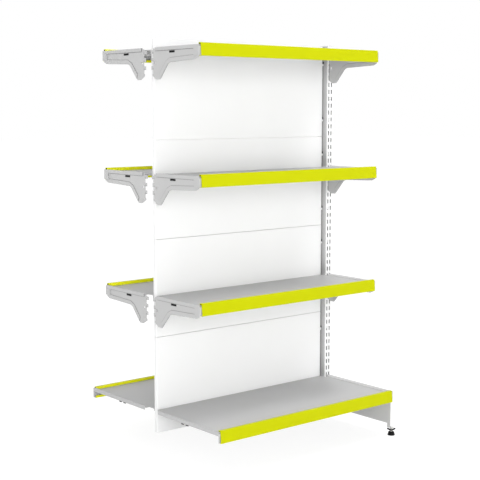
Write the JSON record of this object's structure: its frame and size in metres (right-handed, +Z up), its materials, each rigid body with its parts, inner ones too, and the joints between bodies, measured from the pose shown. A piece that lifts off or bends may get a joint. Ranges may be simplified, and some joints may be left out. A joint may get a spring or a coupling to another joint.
{
  "type": "gondola shelving bay",
  "caption": "Double-sided add-on bay of shop shelving: slotted upright, white back panels, hooked bracket shelves over deeper base shelves, yellow ticket strips and levelling feet.",
  "frame": {"origin": "on the floor under the middle of the bay's overall box", "axes": "+Z up, +X along the bay towards the upright, -Y towards the front side"},
  "size_m": [0.9636, 0.873, 1.65],
  "materials": {
    "white_paint": "satin",
    "grey_paint": "satin",
    "white_plastic": "matt",
    "yellow_plastic": "smooth",
    "black_plastic": "matt",
    "steel": "zinc plated"
  },
  "bodies": {
    "frame": {"upright": "white_paint", "upright_cap": "white_plastic", "panel_front_1": "white_paint", "panel_front_2": "white_paint", "panel_front_3": "white_paint", "panel_front_4": "white_paint", "base_foot_front": "grey_paint", "panel_back_1": "white_paint", "panel_back_2": "white_paint", "panel_back_3": "white_paint", "panel_back_4": "white_paint", "base_foot_back": "grey_paint"},
    "foot_pad_body_front": {"foot_pad_front": "black_plastic"},
    "foot_screw_body_front": {"levelling_screw_front": "steel", "wing_nut_front": "black_plastic"},
    "base_front": {"shelf_base_front": "grey_paint", "stiffener_base_front": "grey_paint", "ticket_strip_base_front": "yellow_plastic"},
    "lower_front": {"shelf_lower_front": "grey_paint", "stiffener_lower_front": "grey_paint", "ticket_strip_lower_front": "yellow_plastic", "bracket_lower_front_left": "grey_paint", "bracket_lower_front_right": "grey_paint"},
    "middle_front": {"shelf_middle_front": "grey_paint", "stiffener_middle_front": "grey_paint", "ticket_strip_middle_front": "yellow_plastic", "bracket_middle_front_left": "grey_paint", "bracket_middle_front_right": "grey_paint"},
    "top_front": {"shelf_top_front": "grey_paint", "stiffener_top_front": "grey_paint", "ticket_strip_top_front": "yellow_plastic", "bracket_top_front_left": "grey_paint", "bracket_top_front_right": "grey_paint"},
    "foot_pad_body_back": {"foot_pad_back": "black_plastic"},
    "foot_screw_body_back": {"levelling_screw_back": "steel", "wing_nut_back": "black_plastic"},
    "base_back": {"shelf_base_back": "grey_paint", "stiffener_base_back": "grey_paint", "ticket_strip_base_back": "yellow_plastic"},
    "lower_back": {"shelf_lower_back": "grey_paint", "stiffener_lower_back": "grey_paint", "ticket_strip_lower_back": "yellow_plastic", "bracket_lower_back_left": "grey_paint", "bracket_lower_back_right": "grey_paint"},
    "middle_back": {"shelf_middle_back": "grey_paint", "stiffener_middle_back": "grey_paint", "ticket_strip_middle_back": "yellow_plastic", "bracket_middle_back_left": "grey_paint", "bracket_middle_back_right": "grey_paint"},
    "top_back": {"shelf_top_back": "grey_paint", "stiffener_top_back": "grey_paint", "ticket_strip_top_back": "yellow_plastic", "bracket_top_back_left": "grey_paint", "bracket_top_back_right": "grey_paint"}
  },
  "joints": [
    {"name": "foot_travel_front", "type": "slide", "parent": "frame", "child": "foot_pad_body_front", "axis": [0, 0, -1], "range_m": [0, 0.005]},
    {"name": "foot_turn_front", "type": "hinge", "parent": "foot_pad_body_front", "child": "foot_screw_body_front", "pos_m": [0.46425, -0.421, 0], "axis": [0, 0, -1], "range_deg": [0, 1210]},
    {"name": "lift_base_front", "type": "slide", "parent": "frame", "child": "base_front", "axis": [0, 0, 1], "range_m": [0, 0.06]},
    {"name": "lift_lower_front", "type": "slide", "parent": "frame", "child": "lower_front", "axis": [0, 0, 1], "range_m": [0, 0.008]},
    {"name": "lift_middle_front", "type": "slide", "parent": "frame", "child": "middle_front", "axis": [0, 0, 1], "range_m": [0, 0.008]},
    {"name": "lift_top_front", "type": "slide", "parent": "frame", "child": "top_front", "axis": [0, 0, 1], "range_m": [0, 0.008]},
    {"name": "foot_travel_back", "type": "slide", "parent": "frame", "child": "foot_pad_body_back", "axis": [0, 0, -1], "range_m": [0, 0.005]},
    {"name": "foot_turn_back", "type": "hinge", "parent": "foot_pad_body_back", "child": "foot_screw_body_back", "pos_m": [0.46425, 0.421, 0], "axis": [0, 0, -1], "range_deg": [0, 1210]},
    {"name": "lift_base_back", "type": "slide", "parent": "frame", "child": "base_back", "axis": [0, 0, 1], "range_m": [0, 0.06]},
    {"name": "lift_lower_back", "type": "slide", "parent": "frame", "child": "lower_back", "axis": [0, 0, 1], "range_m": [0, 0.008]},
    {"name": "lift_middle_back", "type": "slide", "parent": "frame", "child": "middle_back", "axis": [0, 0, 1], "range_m": [0, 0.008]},
    {"name": "lift_top_back", "type": "slide", "parent": "frame", "child": "top_back", "axis": [0, 0, 1], "range_m": [0, 0.008]}
  ],
  "couplings": [
    {"joint": "foot_turn_front", "follows": "foot_travel_front", "rad_per_m": 4188.8},
    {"joint": "foot_turn_back", "follows": "foot_travel_back", "rad_per_m": 4188.8}
  ]
}
